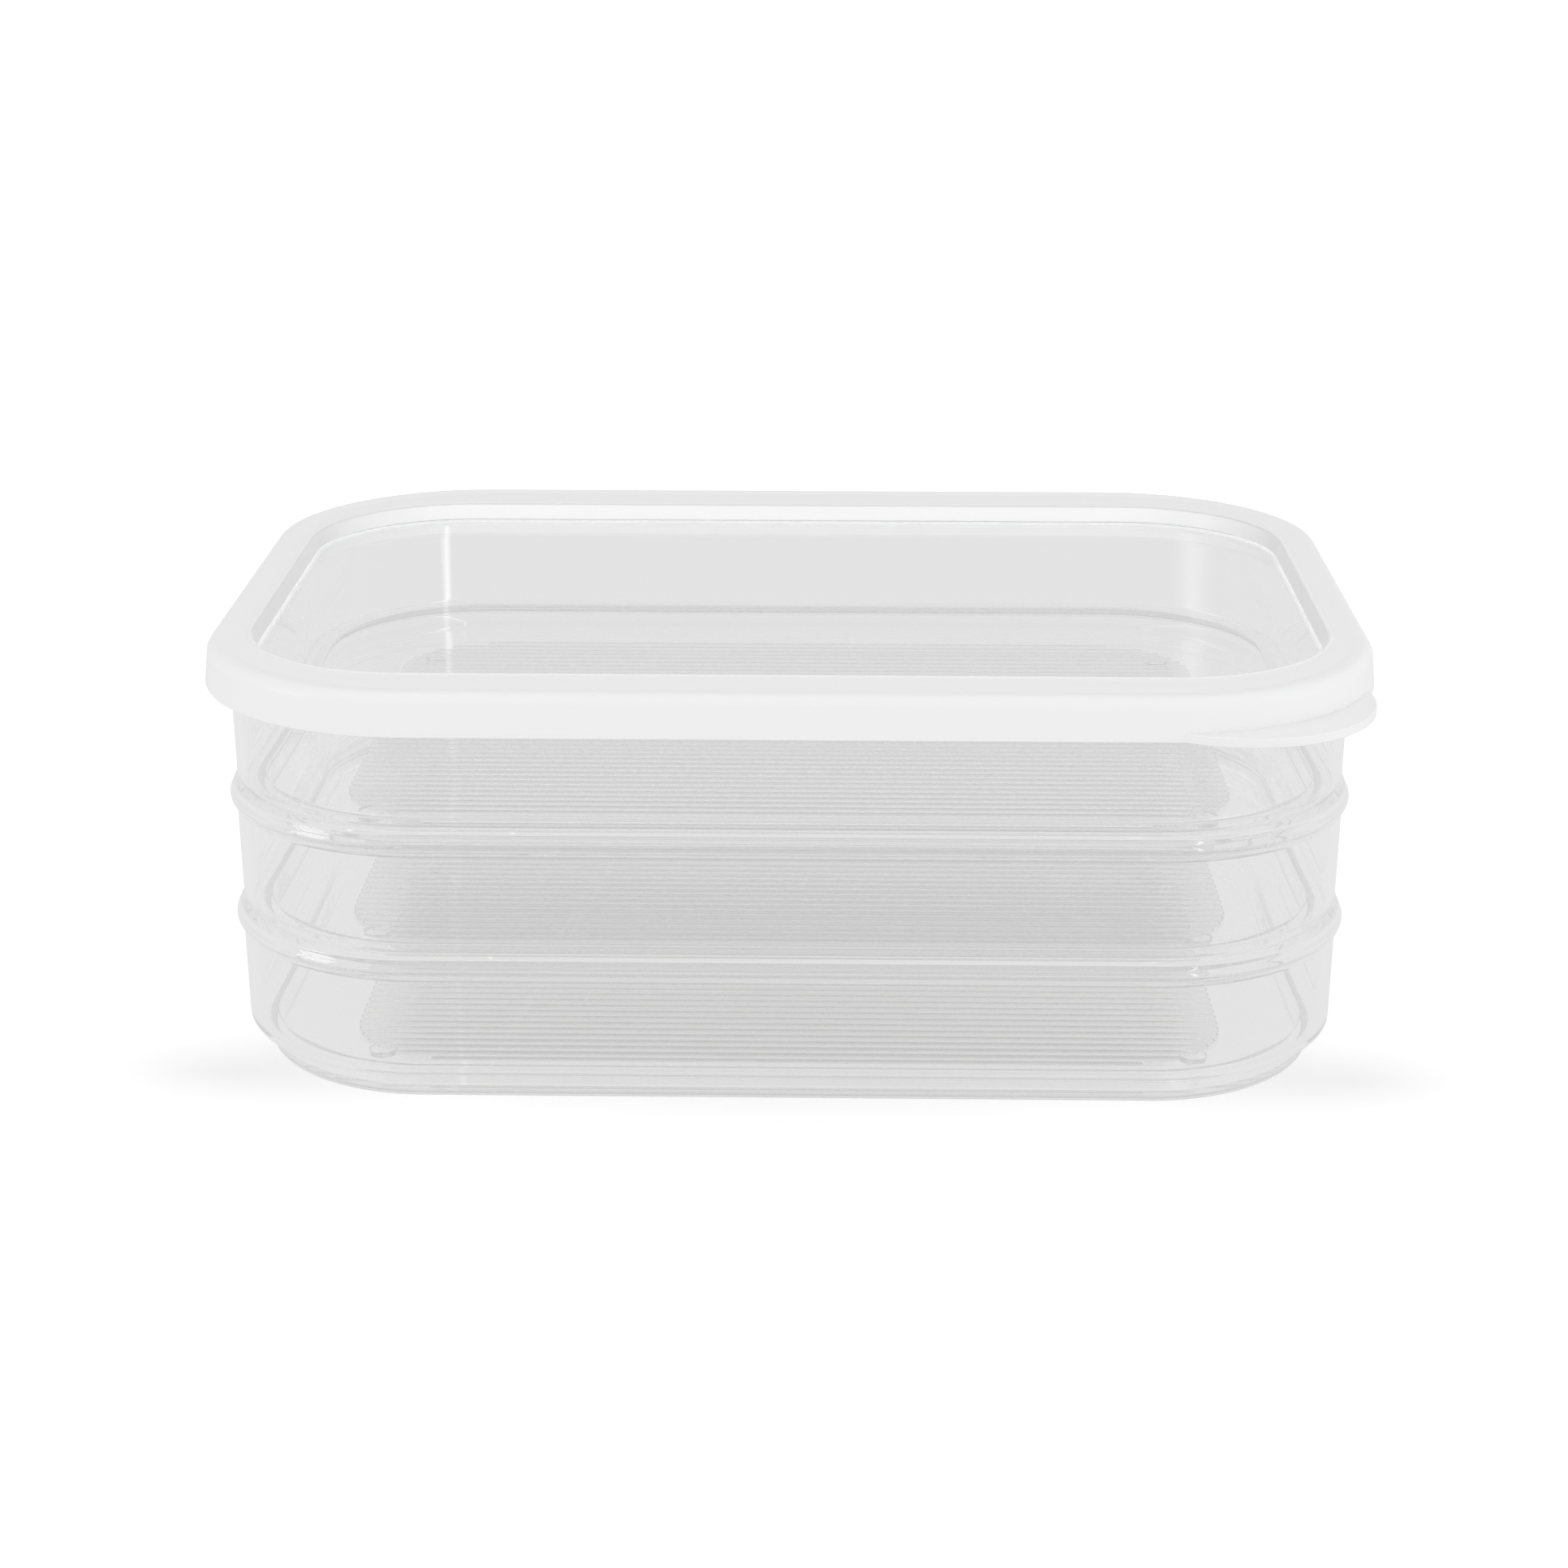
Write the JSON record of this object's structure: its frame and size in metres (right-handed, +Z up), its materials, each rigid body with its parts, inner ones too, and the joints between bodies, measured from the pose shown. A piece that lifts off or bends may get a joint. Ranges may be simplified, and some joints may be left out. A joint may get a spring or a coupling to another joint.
{
  "type": "fridge bin",
  "caption": "Clear stacking food trays with ribbed floors under one white-rimmed lid with a clear panel and a corner pull tab.",
  "frame": {"origin": "bottom centre of the whole stack's box, at the underside of the bottom tray's studs", "axes": "+X along the long side, +Z up out of the trays, -Y towards the side with the pull tab"},
  "size_m": [0.245, 0.181, 0.0921],
  "materials": {
    "tray_plastic": "clear, moulded, high gloss",
    "rim_plastic": "milky white, flexible, satin",
    "panel_plastic": "clear, smooth, high gloss"
  },
  "bodies": {
    "bottom": {"bottom_tray": "tray_plastic"},
    "middle": {"middle_tray": "tray_plastic"},
    "top": {"top_tray": "tray_plastic"},
    "lid": {"lid_rim": "rim_plastic", "lid_panel": "panel_plastic"}
  },
  "joints": [
    {"name": "middle_tray_lift", "type": "slide", "parent": "bottom", "child": "middle", "axis": [0, 0, 1], "range_m": [0, 0.05]},
    {"name": "top_tray_lift", "type": "slide", "parent": "middle", "child": "top", "axis": [0, 0, 1], "range_m": [0, 0.05]},
    {"name": "lid_lift", "type": "slide", "parent": "top", "child": "lid", "axis": [0, 0, 1], "range_m": [0, 0.06]}
  ]
}
